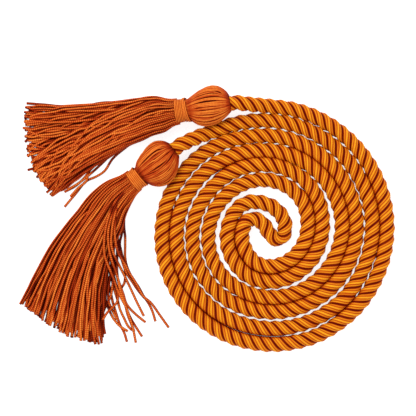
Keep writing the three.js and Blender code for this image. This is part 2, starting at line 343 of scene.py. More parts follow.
# outline of the plies with a ridge for each yarn, and the painted shade at each point in the ply's
# groove and in the line between two yarns
def cordSection(look):
    radius, offset = look["diameter"] * look["fullness"] / 2, look["plyOffset"]
    face = radius - offset
    half = math.pi / look["plies"]
    meeting = offset * math.cos(half) + math.sqrt(face**2 - (offset * math.sin(half)) ** 2)
    reach = math.atan2(meeting * math.sin(half), meeting * math.cos(half) - offset)
    ridge = np.arange(look["yarnsPerPly"] * look["pointsPerYarn"]) / look["pointsPerYarn"]
    bend = reach * (2 * ridge / look["yarnsPerPly"] - 1)
    rounded = np.abs(np.sin(math.pi * ridge)) ** look["yarnFlatness"]
    lift = face - look["yarnDepth"] * (1 - rounded)
    x, y = offset + lift * np.cos(bend), lift * np.sin(bend)
    inwards = np.clip((radius - np.hypot(x, y)) / (radius - meeting), 0, 1)
    # painted shadow in the grooves between plies, darker further in
    groove = look["grooveShade"] * inwards ** look["grooveSteepness"]
    line = look["yarnLine"] * (1 - rounded) + np.repeat(look["yarnShades"], look["pointsPerYarn"])
    points = []
    for turn in np.arange(look["plies"]) * 2 * math.pi / look["plies"]:
        c, s = math.cos(turn), math.sin(turn)
        points.append(np.stack([x * c - y * s, x * s + y * c], axis=1))
    return np.vstack(points), np.tile(groove, look["plies"]), np.tile(line, look["plies"])


# 1 within some stretches of an arm, 0 outside them
def within(stretches, place):
    inside = np.zeros(len(place))
    for start, end in stretches:
        edge = np.clip((place - start) / pressedEnds, 0, 1) * np.clip((end - place) / pressedEnds, 0, 1)
        inside = np.maximum(inside, edge)
    return inside


# how hard each ring of the cord is pressed by the next turn, on its outer and on its inner side
def pressure(path):
    middle = np.argmin(np.hypot(path[:, 0], path[:, 1]))
    angle = np.arctan2(path[:, 0], path[:, 1])
    angle = np.concatenate([np.unwrap(angle[:middle]), np.unwrap(angle[:middle - 1:-1])[::-1]])
    place = angle * 8 / (2 * math.pi)
    upper = np.arange(len(path)) < middle
    outer = np.where(upper, within(pressedTurnOn, place - 8), within(pressedTogether, place))
    inner = np.where(upper, within(pressedTogether, place), within(pressedTurnOn, place))
    return outer, inner


def makeCord(look):
    path = cordRoute(look)
    length = float(np.sum(np.linalg.norm(np.diff(path, axis=0), axis=1)))
    outline, grooves, lines = cordSection(look)
    tangents = unit(np.gradient(path, axis=0))
    normals = unit([0, 0, 1.0] - tangents[:, 2:] * tangents)
    sideways = np.cross(tangents, normals)
    twist = 2 * math.pi * np.linspace(0, length, len(path)) / look["lay"]
    c, s = np.cos(twist)[:, None], np.sin(twist)[:, None]
    x, y = outline[:, 0], outline[:, 1]
    offsets = np.stack([x * c - y * s, x * s + y * c], axis=-1)
    away = np.hypot(offsets[..., 0], offsets[..., 1])
    upward = offsets[..., 0] / away
    outward = np.sign(np.sum(sideways * path, axis=1))[:, None] * offsets[..., 1] / away
    outer, inner = (side[:, None] for side in pressure(path))
    pressed = outer * np.clip(1.5 * outward, 0, 1) + inner * np.clip(-1.5 * outward, 0, 1)
    offsets = offsets * (1 + pressed * (look["pressedRadius"] / away - 1))[..., None]
    # painted shade: in the ply grooves (less on the cord's sides), between yarns, on the underside, and
    # where turns press together
    fading = look["grooveAtSides"] + (1 - look["grooveAtSides"]) * np.clip(upward * 1.3, 0, 1)
    cavity = grooves * fading + lines + look["underShade"] * np.clip(0.3 - upward, 0, 1)
    cavity = cavity + look["pressedShade"] * pressed * np.clip(1 - 1.8 * upward, 0, 1)
    cavity = np.clip(cavity, 0, 1)
    tube = [values[None] for values in (path, normals, sideways, offsets, cavity)]
    cord = tubeObject("twistedCord", *tube)
    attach(cord, "root")
    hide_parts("cord")
    print("cord:", round(length), "mm long,", len(cord.data.polygons), "faces")
    return cord


cord = makeCord(cordLook)

# head of a tassel: yarns drawn over the cord's end and down to the neck
headLook = {
    "yarns": 76,
    "yarnRadius": 0.56,
    "rings": 30,
    "sides": 10,
    "thickness": (0.55, 1.05),  # of its yarns where the head has no width, and at its widest
    "uneven": (0.9, 1.12),
    "start": (0.06, 0.4),  # of its yarns in the hollow round the cord: shares of length and radius
    "lean": 0.10,  # radians that the yarns slant round the head
    "wander": 0.03,
    "swell": 0.22,  # unevenness of the head's surface
    "skew": 0.1,  # the widest place is nearer the neck on the left, and nearer the cord on the right
    "depth": 0.08,  # how deep the yarns lie on average, and how much that varies
    "deepest": 0.4,
    "sinking": 1.2,  # millimetres for a depth of 1
    "depthShade": 1.5,
    "endShades": [(0.02, 0.05, 0.25), (1, 0.06, 0.2)],  # painted shade where drawn in: place, reach, shade
    "sideShade": 1.25,
    "skyward": 0.4,  # how much of the light on it comes from above
    "coreInset": 0.5,
    "coreSides": 36,
    "coreRings": 26,
}
headShifts = {"upper": -0.5, "lower": 1.1}  # of a head's middle, sideways
headLumps = [(1.0, 3, 0, 1.0), (0.7, 5, 0, 2.3), (0.6, 11, 9, 0)]  # height, waves, slant, start
# slits between the yarns of a head: degrees round it with the top at 90, share along it from the
# cord, how far it reaches each way as a share, and how far its sides move apart in radians
slits = {
    "upper": [
        (88, 0.76, 0.08, 0.03), (125, 0.93, 0.05, 0.03), (133, 0.2, 0.09, 0.06),
        (78, 0.08, 0.06, 0.05), (104, 0.5, 0.25, 0.02), (66, 0.35, 0.2, 0.02),
        (95, 0.2, 0.12, 0.025), (45, 0.6, 0.2, 0.02), (160, 0.4, 0.2, 0.03), (20, 0.4, 0.2, 0.03),
    ],
    "lower": [
        (125, 0.16, 0.06, 0.045), (98, 0.15, 0.06, 0.03), (76, 0.15, 0.1, 0.045),
        (66, 0.56, 0.15, 0.03), (116, 0.42, 0.16, 0.025), (84, 0.5, 0.2, 0.02),
        (104, 0.62, 0.2, 0.02), (132, 0.6, 0.2, 0.015), (52, 0.35, 0.15, 0.02),
        (40, 0.6, 0.2, 0.02), (150, 0.45, 0.2, 0.02), (20, 0.5, 0.25, 0.02),
    ],
}


# the outline stays sharp where the cord comes in, and is rounded off from an eighth of its length
def headRadiusAt(tassel, share):
    rows = headOutline + [(1.0, tassel["neckRadius"] / tassel["headRadius"])]
    sharp = np.interp(share, [row[0] for row in rows], [row[1] for row in rows])
    blend = np.clip(share / 0.12, 0, 1)
    return tassel["headRadius"] * (sharp * (1 - blend) + tableAt(rows, 1, share) * blend)


# points of a head: share runs from the cord to the neck, turn goes round, a quarter turn at the top
def headPoints(side, tassel, share, turn, inset):
    swell = np.sin(math.pi * np.clip(share, 0, 1))
    skewed = np.clip(share - headLook["skew"] * np.cos(turn) * swell, 0, None)
    radius = headRadiusAt(tassel, np.where(share < 0.03, share, skewed)) - inset
    for height, waves, slant, start in headLumps:
        lump = height * np.sin(waves * turn + slant * share + start)
        radius = radius + headLook["swell"] * lump * swell
    flat = 1 - (1 - settle) * np.minimum(1, 1.4 * swell)
    along = share * tassel["headLength"] - headEnd(tassel)
    y = radius * np.cos(turn) + headShifts[side] * swell
    return drooped(tassel, np.stack([along, y, radius * np.sin(turn) * flat], axis=-1))


def makeHead(side, tassel, look):
    count = look["yarns"]
    start = (np.arange(count) + dice.uniform(-0.3, 0.3, count)) * 2 * math.pi / count
    # each yarn starts in the hollow round the cord, and ends inside the binding
    share = np.concatenate([[0.05, 0.0], np.linspace(0.025, 1.0, look["rings"] - 4), [1.12, 1.3]])[None]
    turn = start[:, None] + look["lean"] * (share - 0.5)
    wander = look["wander"] * dice.normal(0, 1, (count, 1))
    turn = turn + wander * np.sin(math.pi * np.clip(share, 0, 1))
    for degrees, place, length, opening in slits[side]:
        away = (turn - math.radians(degrees) + math.pi) % (2 * math.pi) - math.pi
        beside = np.exp(-((away / (0.06 + 2 * opening)) ** 2))
        turn = turn + opening * beside * np.sign(away) * np.exp(-((share - place) / length) ** 2)
    share = np.broadcast_to(share, turn.shape)
    depth = np.clip(dice.normal(look["depth"], look["depth"], (count, 1)), 0, look["deepest"])
    paths = headPoints(side, tassel, share, turn, look["yarnRadius"] + look["sinking"] * depth)
    first, inset = look["start"]
    inset = inset * tassel["headRadius"]
    paths[:, 0] = headPoints(side, tassel, np.full(count, first), turn[:, 0], inset)
    along = (share * tassel["headLength"] - headEnd(tassel)) * math.cos(droop)
    middle = np.stack([along, 0 * along, 0 * along + neckHeight(tassel)], axis=-1)
    outward = unit(paths - middle) * [0, 1, 1] + [0, 0, look["skyward"]]
    outward = turned(tassel, unit(outward))
    paths[..., 2] = np.maximum(paths[..., 2], look["yarnRadius"])
    width = headRadiusAt(tassel, share) / tassel["headRadius"]
    thinnest, thickest = look["thickness"]
    radii = look["yarnRadius"] * (thinnest + (thickest - thinnest) * width)
    radii = radii * dice.uniform(*look["uneven"], (count, 1))
    # painted shade for lying deep, and where the yarns are drawn in at both ends
    shade = look["depthShade"] * depth
    for place, reach, endShade in look["endShades"]:
        shade = shade + endShade * np.exp(-((share - place) / reach) ** 2)
    paths = placed(tassel, paths)
    head = roundYarns(side + "Head", paths, radii, look["sides"], shade, outward, look["sideShade"])

    # core inside the head, painted all in the darkest shade, that shows through the slits
    coreTurn, coreShare = np.meshgrid(
        np.arange(look["coreSides"]) * 2 * math.pi / look["coreSides"],
        np.linspace(0.03, 1.3, look["coreRings"]),
    )
    surface = headPoints(side, tassel, coreShare, coreTurn, look["yarnRadius"] + look["coreInset"])
    surface[..., 2] = np.maximum(surface[..., 2], clearance)
    axis = surface.mean(axis=1)[None]
    core = tubeObject(
        side + "HeadCore",
        placed(tassel, axis),
        np.broadcast_to(turned(tassel, [0, 1, 0]), axis.shape),
        np.broadcast_to([0, 0, 1.0], axis.shape),
        (surface[None] - axis[:, :, None])[..., 1:],
        1.0,
    )
    return head, core


# binding: a yarn wound round the neck
bindingLook = {
    "stepsPerTurn": 40,
    "sides": 12,
    "sideShade": 1.3,
    "shade": 0.06,
    "slantShade": 0.3,  # of the line where the last, slanted wraps start
    "lifting": 0.25,  # how far those lie further out and further along
    "uneven": 0.12,
}
bindings = {
    "upper": {"radius": 0.47, "wraps": 8.4, "slant": 0.22, "slantFrom": 0.68},
    "lower": {"radius": 0.64, "wraps": 5.4, "slant": 0.08, "slantFrom": 0.7},
}


def makeBinding(side, tassel, look, winding):
    steps = int(winding["wraps"] * look["stepsPerTurn"])
    turn = np.arange(steps) * 2 * math.pi / look["stepsPerTurn"]
    share = np.linspace(0, 1, steps)
    last = np.clip((share - winding["slantFrom"]) / 0.1, 0, 1)
    slanted = winding["slant"] * tassel["neckRadius"] * np.sin(turn + 2.6) * last
    along = (tassel["bindingWidth"] - 2 * winding["radius"]) * (0.5 - share)
    along = along - look["lifting"] * last - slanted
    around = tassel["neckRadius"] + winding["radius"] / 2 + look["lifting"] * last
    around = around + look["uneven"] * np.sin(7 * share + 1)
    points = np.stack([along, around * np.cos(turn), around * np.sin(turn)], axis=-1)[None]
    paths = placed(tassel, drooped(tassel, points))
    outward = unit(paths - placed(tassel, drooped(tassel, points * [1, 0, 0])))
    # painted shade along the line where the slanted wraps start
    line = np.exp(-((share - winding["slantFrom"]) / 0.025) ** 2)[None]
    shade = look["shade"] + look["slantShade"] * line
    radii = np.full((1, steps), winding["radius"])
    return roundYarns(side + "Binding", paths, radii, look["sides"], shade, outward, look["sideShade"])


# skirt: yarns fanned out on the surface
skirtLook = {
    "yarnRadius": 0.7,
    "uneven": (0.92, 1.08),
    "layers": 9,
    "rings": 40,
    "sides": 10,
    "sideShade": 1.0,
    "deepShade": 0.62,
    "ownShade": 0.22,  # most that one yarn is darker than the next
    "edgeLean": math.radians(60),  # how far outward turns to the side for the outermost yarns, so their outer sides get less painted shade
    "tucked": 0.035,  # share of the length that is under the binding
    "squeeze": (0.34, 0.35),  # how much thinner they are where bound, and the share that it lasts
    "cutEnd": 1.12,  # how much thicker their cut ends are
    "shortOnes": 0.2,  # share of them that end early
    "settling": 30,  # rounds in which the yarns push each other apart
    "push": 0.3,  # share of an overlap that a round takes away
    "longestPush": 0.3,
}
# how the yarns of each skirt lie: each row of edges is the reach, and how far the loose yarns go to
# the right and left there, as shares of the skirt's half width
skirtLays = {
    "upper": {
        "yarns": 17, "sweep": 1.2, "stray": 0.42, "wave": 0.05, "clumps": 14, "clumping": 0.12,
        "uneven": 0.024, "bend": (0.5, 2.4),
        "edges": [
            (0, 1.15, 1.2), (0.08, 1.22, 1.4), (0.2, 1.02, 1.05), (0.35, 0.94, 0.89), (1, 0.97, 1.03),
        ],
    },
    "lower": {
        "yarns": 18, "sweep": 0.0, "stray": 0.18, "wave": 0.018, "clumps": 25, "clumping": 0.06,
        "uneven": 0.026, "bend": (0.8, 1.8),
        "edges": [
            (0, 1.15, 1.15), (0.08, 1.35, 1.3), (0.2, 1.2, 1.15), (0.35, 1.0, 1.0), (0.6, 1.06, 0.92),
            (1, 1.06, 0.92),
        ],
    },
}


# heights of the pile's underside and top, across from -1 at a skirt's right edge to 1 at its left
def pileHeights(tassel, reach, across):
    rise = tassel["neckRadius"] * np.cos(rootWrap * across)
    top = tableAt(pile, 1, reach) * (neckHeight(tassel) + rise)
    return tableAt(pile, 2, reach) * (neckHeight(tassel) - rise), top


# points in a skirt, layer from 0 at the bottom to 1 on top
def skirtPoints(tassel, reach, across, layer, length, radius):
    left, right = tableAt(tassel["skirt"], 1, reach), tableAt(tassel["skirt"], 2, reach)
    angle = np.radians(right + (left - right) * (across + 1) / 2)
    bindingRadius = tassel["neckRadius"] + bindingReach
    root = tassel["bindingWidth"] / 2 + bindingRadius * math.sin(droop) + clearance
    out = root + reach * (length - root)
    under, top = pileHeights(tassel, reach, across)
    z = under + radius + np.maximum(top - under - 2 * radius, 0) * layer
    y = out * np.sin(angle) + across * bindingRadius * rootSpread
    return np.stack([out * np.cos(angle), y, z], axis=-1)


# the right and left limits of a skirt's loose yarns, across as above
def looseEdges(lay, share):
    reach, right, left = zip(*lay["edges"])
    return -np.interp(share, reach, right), np.interp(share, reach, left)


# pushes the yarns of a skirt apart until they lie beside and on each other, and gives how deep each
# lies under the others, for painted shade, and how far across it is
def settled(tassel, share, paths, radii, look, lay):
    limits = looseEdges(lay, share)
    edges = [skirtPoints(tassel, share, limit, 0, tassel["skirtLength"], 0)[..., 1] for limit in limits]
    for _ in range(look["settling"]):
        gap = paths[:, None, :, 1:] - paths[None, :, :, 1:]
        apart = np.hypot(gap[..., 0], gap[..., 1]) + tiny
        overlap = np.clip(radii[:, None] + radii[None] - apart, 0, None)
        push = np.sum(gap * (look["push"] * overlap / apart)[..., None], axis=1)
        push[:, 1:-1] = (push[:, :-2] + 2 * push[:, 1:-1] + push[:, 2:]) / 4
        paths[..., 1:] += np.clip(push, -look["longestPush"], look["longestPush"])
        paths[..., 1] = np.clip(paths[..., 1], edges[0], edges[1])
        between = (paths[..., 1] - edges[0]) / (edges[1] - edges[0])
        across = limits[0] + between * (limits[1] - limits[0])
        low, high = pileHeights(tassel, share, across)
        paths[..., 2] = np.clip(paths[..., 2], low + radii, np.maximum(high, low + 3 * radii) - radii)
    paths[:, 1:-1] = (paths[:, :-2] + 2 * paths[:, 1:-1] + paths[:, 2:]) / 4

    # painted shade: deep is where other yarns lie on it, less so near the skirt's edges
    gap = paths[:, None, :, 1:] - paths[None, :, :, 1:]
    beside = np.clip(1 - np.abs(gap[..., 0]) / (2.5 * radii[:, None]), 0, 1)
    covered = np.sum(beside * np.clip(-gap[..., 1] / radii[:, None] - 0.3, 0, 1), axis=1)
    place = 2 * between - 1
    nearEdge = np.clip((np.abs(place) - 0.75) / 0.25, 0, 1)
    return paths, (1 - np.exp(-0.8 * covered)) * (1 - 0.75 * nearEdge), place


def makeSkirt(side, tassel, look, lay):
    layers, yarns, clumps = look["layers"], lay["yarns"], lay["clumps"]
    count = layers * yarns
    tier = np.repeat(np.arange(layers), yarns)
    layer = (tier + dice.uniform(0, 1, count)) / layers

    # how far across each yarn starts and ends, with the ends swept to one side and drawn into clumps
    slot = np.tile(np.arange(yarns), layers) + 0.25 + 0.5 * (tier % 2)
    start = np.clip(2 * (slot + dice.normal(0, 0.22, count)) / yarns - 1, -1, 1)
    end = start + dice.normal(0, lay["stray"], count) * np.clip(layer * 1.2, 0.15, 1)
    swept = np.clip(layer - 0.35, 0, 1) * (1 - start) * dice.normal(0.6, 0.55, count)
    end = end + lay["sweep"] * swept
    end = np.clip(end, -1 + dice.uniform(0, 0.12, count), 1 - dice.uniform(0, 0.12, count))
    clump = np.round((end + 1) / 2 * clumps + dice.uniform(-0.3, 0.3, count))
    end = end + lay["clumping"] * (clump / clumps * 2 - 1 - end)

    # its way between them, bent and waved, with a curled tip
    share = np.concatenate([[-look["tucked"]], np.linspace(0, 1, look["rings"] - 1)])[None]
    bend = dice.uniform(*lay["bend"], (count, 1))
    across = start[:, None] + (end - start)[:, None] * np.clip(share, 0, 1) ** bend
    wavePhase, heightPhase, _ = dice.uniform(0, 6.28, (3, count, 1))
    across = across + lay["wave"] * np.sin(dice.uniform(3, 8, (count, 1)) * share + wavePhase) * share
    curl = dice.normal(0, lay["wave"] * 1.5, (count, 1)) * np.clip((share - 0.8) / 0.2, 0, 1) ** 2
    right, left = looseEdges(lay, share)
    across = np.clip((across + curl) * np.where(across < 0, -right, left), right, left)
    height = np.clip(layer[:, None] + 0.06 * np.sin(6 * share + heightPhase) * share, 0, 1)

    # its length, with a few that end early
    edge = np.where(end > 0, tassel["leftEnd"], tassel["rightEnd"]) - 1
    early = dice.uniform(0, 1, count) < look["shortOnes"]
    short = np.where(early, dice.uniform(0.02, 0.07, count), 0)
    uneven = 0.8 * lay["uneven"] - np.abs(dice.normal(0, lay["uneven"], count)) - short
    length = tassel["skirtLength"] * (1 + edge * end**2) * (1 + uneven)
    paths = skirtPoints(tassel, share, across, height, length[:, None], look["yarnRadius"])
    squeeze, squeezedFor = look["squeeze"]
    squeezed = 1 - squeeze * np.clip(1 - share / squeezedFor, 0, 1) ** 1.5
    radii = look["yarnRadius"] * dice.uniform(*look["uneven"], (count, 1)) * squeezed
    radii[:, -1] *= look["cutEnd"]

    paths, covered, place = settled(tassel, share, paths, radii, look, lay)
    # painted shade from the yarns over it, and a random tone of its own
    depth = look["deepShade"] * covered + dice.uniform(0, look["ownShade"], (count, 1))
    lean = look["edgeLean"] * np.sign(place) * np.clip(np.abs(place) - 0.6, 0, 0.4) / 0.4
    outward = turned(tassel, np.stack([0 * lean, np.sin(lean), np.cos(lean)], axis=-1))
    paths = placed(tassel, paths)
    return roundYarns(side + "Skirt", paths, radii, look["sides"], depth, outward, look["sideShade"])


# stray yarns beside the skirts, each through a few places, in millimetres from the origin: those
# under come out from beneath the skirt, those over run down from its top
strays = {
    "upper": {"over": [], "under": [
        [(-62, 58), (-75, 48), (-85.7, 39.2), (-90.7, 31.9), (-95.8, 28.6), (-100.8, 26.3), (-107, 19),
         (-113.1, 11.8)],
        [(-62, 58), (-82, 46), (-99.1, 31.9), (-100.8, 26.3), (-105.3, 22.4), (-109.8, 17.6)],
        [(-62, 58), (-82, 46), (-98.6, 32.5), (-101.4, 28.6), (-107, 23.5), (-113.1, 20.2)],
        [(-62, 58), (-80, 47), (-95.5, 33), (-99.5, 29.5), (-106, 24.5), (-111.5, 21.5)],
        [(-62, 58), (-95, 48), (-118, 37), (-127.7, 34.2), (-133.8, 32.5)],
        [(-60, 67), (-75, 69.5), (-90, 70.5), (-107, 67.8), (-123.8, 69.2), (-134.4, 70)],
    ]},
    "lower": {"under": [
        [(-75.5, 19), (-79, 10.5), (-79.5, 4.5), (-79.5, 0), (-79, -4.5), (-79, -10.5), (-79, -16.5),
         (-78, -21.5), (-75, -28), (-71.5, -33), (-68.5, -38.5), (-65.5, -43), (-63.5, -47.5),
         (-62, -52.5)],
        [(-76, 18.5), (-79, 10.5), (-80, 4.5), (-80, 0), (-81, -4), (-82, -8.5), (-81, -14),
         (-79.5, -20.5), (-79, -26), (-79.5, -31), (-81, -33.5), (-83, -37)],
        [(-80, 13), (-83.5, 5), (-85, -5.5), (-85.5, -14), (-84.5, -22.5), (-83, -29.5), (-81, -36.5),
         (-78.5, -44.5), (-76, -50.5), (-73, -55.5), (-69.5, -61)],
        [(-81, 13), (-84.5, 5), (-86, -5.5), (-87, -14), (-86, -23.5), (-84, -32), (-81, -39.5),
         (-78, -45.5), (-76, -51.5), (-74.5, -57), (-73, -64.5)],
        [(-81.5, 13), (-85.5, 5), (-87, -5.5), (-88.5, -14), (-88, -23), (-86, -31), (-84.5, -36.5),
         (-83, -41.5), (-82, -45.5), (-79.5, -51), (-77.5, -55), (-75, -57.5)],
        [(-82, 13), (-86, 5), (-88, -5.5), (-89.5, -14), (-89.5, -22.5), (-88.5, -29.5), (-87, -36.5),
         (-86, -41.5), (-84.5, -46.5), (-82, -54), (-79.5, -59), (-78, -64)],
        [(-82, 12.5), (-86.5, 4), (-88.5, -6.5), (-89.5, -16), (-89, -26.5), (-89.5, -33.5), (-90, -40),
         (-88, -46), (-85.5, -51), (-82, -55), (-77.5, -58)],
        [(-82.5, 12.5), (-87, 4), (-89, -6.5), (-89.5, -16), (-89, -27.5), (-90, -33.5), (-90.5, -41.5),
         (-92.5, -48), (-93, -54.5), (-91.5, -61.5)],
        [(-80, 12), (-83, 2.5), (-83.5, -8), (-83.5, -16), (-83.5, -24.5), (-82.5, -31.5), (-81, -37),
         (-79, -43), (-77.5, -49), (-75.5, -54), (-74, -58)],
        [(-81, 12), (-83.5, 2.5), (-85, -8), (-85.5, -16), (-85, -24.5), (-86, -31.5), (-87, -38),
         (-89, -42), (-91, -46.5), (-92.5, -50.5)],
        [(-81.5, 12), (-84, 2.5), (-86, -8), (-86.5, -16), (-87, -24.5), (-88, -31.5), (-88.5, -37),
         (-88, -42), (-85.5, -47.5), (-83.5, -51.5)],
        [(-80, 12), (-82.5, 3.5), (-83, -4), (-83, -9), (-81.5, -15), (-80, -20.5), (-78, -25.5),
         (-74.5, -31), (-71, -36), (-68, -39.5)],
    ], "over": [
        [(-77, 19.5), (-81, 14), (-83.5, 7.5), (-84.5, 0), (-84, -8), (-82.5, -14.5), (-79, -20.5),
         (-76, -26), (-72.5, -31.5), (-69, -38), (-64.5, -42), (-59.5, -49), (-54.5, -56)],
        [(-77.5, 20), (-82, 14), (-84.5, 7), (-86, -1), (-86.5, -9), (-84.5, -16), (-82, -21.5),
         (-79, -27.5), (-75.5, -35), (-72.5, -41.5), (-68.5, -49.5)],
        [(-78, 20.5), (-83, 14.5), (-86, 7), (-88, -1), (-88, -9.5), (-86.5, -17), (-84, -25),
         (-82, -31.5), (-80, -37), (-78.5, -42), (-76.5, -45), (-72.5, -49), (-67.5, -53)],
        [(-78.5, 21), (-84, 15), (-87.5, 7.5), (-89.5, -0.5), (-90.5, -9), (-90, -16), (-87, -24),
         (-84.5, -31), (-83, -37), (-83.5, -41.5), (-86, -44.5), (-89, -47.5), (-91.5, -51.5)],
    ]},
}
strayLook = {
    "yarnRadius": 0.74,
    "rings": 64,
    "sides": 10,
    "sideShade": 0.95,
    "deepShade": 0.7,
    "buriedShade": 0.6,
    "ownShade": (0.06, 0.22),
    "sunkFor": 0.34,  # share of the skirt's length in which those under come down to the surface
    "rising": 0.25,  # share of its length over which a yarn comes up out of the skirt
    "lowest": 0.6,  # height that it starts at, as a share of the skirt's top
    "pile": 2.6,  # how high loose yarns pile up where they cross
}


# height of a skirt's top at places on the surface, none outside it
def skirtTop(tassel, points):
    turn = math.radians(tassel["heading"])
    away = points[:, :2] - np.array(tassel["at"])
    x = away @ np.array([math.cos(turn), math.sin(turn)])
    y = away @ np.array([-math.sin(turn), math.cos(turn)])
    reach = np.hypot(x, y) / tassel["skirtLength"]
    edges = [skirtPoints(tassel, reach, sign, 0, tassel["skirtLength"], 0)[:, 1] for sign in (-1, 1)]
    across = 2 * (y - edges[0]) / (edges[1] - edges[0]) - 1
    inside = np.clip((1.2 - np.abs(across)) / 0.3, 0, 1)
    return pileHeights(tassel, reach, np.clip(across, -1, 1))[1] * inside**2 * (3 - 2 * inside)


# height at which a yarn lies over the earlier ones that it crosses, in low humps
def lyingOver(line, height, earlier, radius, highest):
    most = height + highest
    for other in earlier:
        apart = np.hypot(*np.moveaxis(line[:, None, :2] - other[None, :, :2], -1, 0))
        resting = other[:, 2] + np.sqrt(np.clip(4 * radius**2 - apart**2, 0, None))
        height = np.maximum(height, np.max(np.where(apart < 1.6 * radius, resting, 0), axis=1))
    padded = np.pad(np.minimum(height, most), 2, mode="edge")
    humps = np.max([padded[i:i + len(height)] for i in range(5)], axis=0)
    return np.convolve(np.pad(humps, 2, mode="edge"), [0.1, 0.2, 0.4, 0.2, 0.1], mode="valid")


# how much other yarns lie over each place of some yarns, from 0 to 1
def coveredBy(paths, radius):
    covered = np.zeros(paths.shape[:2])
    for i, line in enumerate(paths):
        for other in np.delete(paths, i, axis=0):
            gap = other[None] - line[:, None]
            beside = np.clip(1 - np.hypot(gap[..., 0], gap[..., 1]) / (2.5 * radius), 0, 1)
            covered[i] += np.max(beside * np.clip(gap[..., 2] / radius - 0.2, 0, 1), axis=1)
    return 1 - np.exp(-1.2 * covered)


def makeStrays(side, tassel, look, rows):
    paths = []
    radius = look["yarnRadius"]
    share = np.linspace(0, 1, look["rings"])
    risen = look["lowest"] + (1 - look["lowest"]) * np.clip(share / look["rising"], 0, 1)
    highest = look["pile"] * np.clip(2.2 * (1 - share), 0, 1)
    for kind in ("under", "over"):
        for row in rows[kind]:
            line = evenly(throughPoints([(x, y, 0) for x, y in row], 12), look["rings"])
            if kind == "under":
                away = np.linalg.norm(line[:, :2] - np.array(tassel["at"]), axis=1)
                sunk = away / tassel["skirtLength"] / look["sunkFor"]
                height = radius + np.clip(1 - sunk, 0, 1) * neckHeight(tassel)
            else:
                height = radius + skirtTop(tassel, line) * risen
            line[:, 2] = lyingOver(line, height, paths, radius, highest)
            paths.append(line)
    paths = np.array(paths)
    tops = np.array([skirtTop(tassel, line) for line in paths])
    # painted shade under the skirt's top and under other yarns, and a random tone of its own
    buried = look["buriedShade"] * np.clip((tops - paths[..., 2]) / radius, 0, 1)
    depth = look["deepShade"] * np.clip(coveredBy(paths, radius) + buried, 0, 1)
    depth = depth + dice.uniform(*look["ownShade"], (len(paths), 1))
    radii = np.full(paths.shape[:2], radius)
    up = np.array([0, 0, 1.0])
    return roundYarns(side + "Strays", paths, radii, look["sides"], depth, up, look["sideShade"])


# shader node groups that the yarns share
def newGroup(name, inputs, output, outputKind):
    group = bpy.data.node_groups.new(name, "ShaderNodeTree")
    for label, value in inputs.items():
        kind = "NodeSocketColor" if isinstance(value, tuple) else "NodeSocketFloat"
        group.interface.new_socket(name=label, in_out="INPUT", socket_type=kind).default_value = value
    group.interface.new_socket(name=output, in_out="OUTPUT", socket_type=outputKind)
    given, result = group.nodes.new("NodeGroupInput"), group.nodes.new("NodeGroupOutput")
    return group, given.outputs, result.inputs[output]


def addMaths(group, operation, *values, clamp=False):
    node = group.nodes.new("ShaderNodeMath")
    node.operation = operation
    node.use_clamp = clamp
    for slot, value in enumerate(values):
        if isinstance(value, (int, float)):
            node.inputs[slot].default_value = value
        else:
            group.links.new(value, node.inputs[slot])
    return node.outputs[0]


def addNoise(group, vector, scale, detail):
    noise = group.nodes.new("ShaderNodeTexNoise")
    noise.inputs["Scale"].default_value = scale
    noise.inputs["Detail"].default_value = detail
    group.links.new(vector, noise.inputs["Vector"])
    return noise.outputs["Fac"]


def addMix(group, factor, first, second):
    mix = group.nodes.new("ShaderNodeMix")
    mix.data_type = "RGBA"
    group.links.new(factor, mix.inputs["Factor"])
    group.links.new(first, mix.inputs[6])
    group.links.new(second, mix.inputs[7])
    return mix.outputs[2]


# place round a yarn and along it, from the UV map, each times a factor
def addYarnPlace(group, timesAround, timesAlong):
    uv = group.nodes.new("ShaderNodeUVMap")
    uv.uv_map = "yarn"
    split = group.nodes.new("ShaderNodeSeparateXYZ")
    group.links.new(uv.outputs["UV"], split.inputs[0])
    around = addMaths(group, "MULTIPLY", split.outputs["X"], timesAround)
    return around, addMaths(group, "MULTIPLY", split.outputs["Y"], timesAlong)


# slanted ribs of a twisted or chained yarn: 1 on a rib and 0 between two, with fuzz
def makeFibreTwist():
    inputs = {"Ribs Around": 2.0, "Ribs Along": 9.0, "Fuzz": 0.3}
    group, given, height = newGroup("fibreTwist", inputs, "Height", "NodeSocketFloat")
    around, along = addYarnPlace(group, given["Ribs Around"], given["Ribs Along"])
    phase = addMaths(group, "MULTIPLY", addMaths(group, "ADD", around, along), 2 * math.pi)
    ribs = addMaths(group, "MULTIPLY_ADD", addMaths(group, "SINE", phase), 0.5, 0.5)
    place = group.nodes.new("ShaderNodeTexCoord")
    noise = addNoise(group, place.outputs["Object"], 1500, 2)
    fuzz = addMaths(group, "MULTIPLY", noise, given["Fuzz"])
    group.links.new(addMaths(group, "ADD", ribs, fuzz), height)
    return group


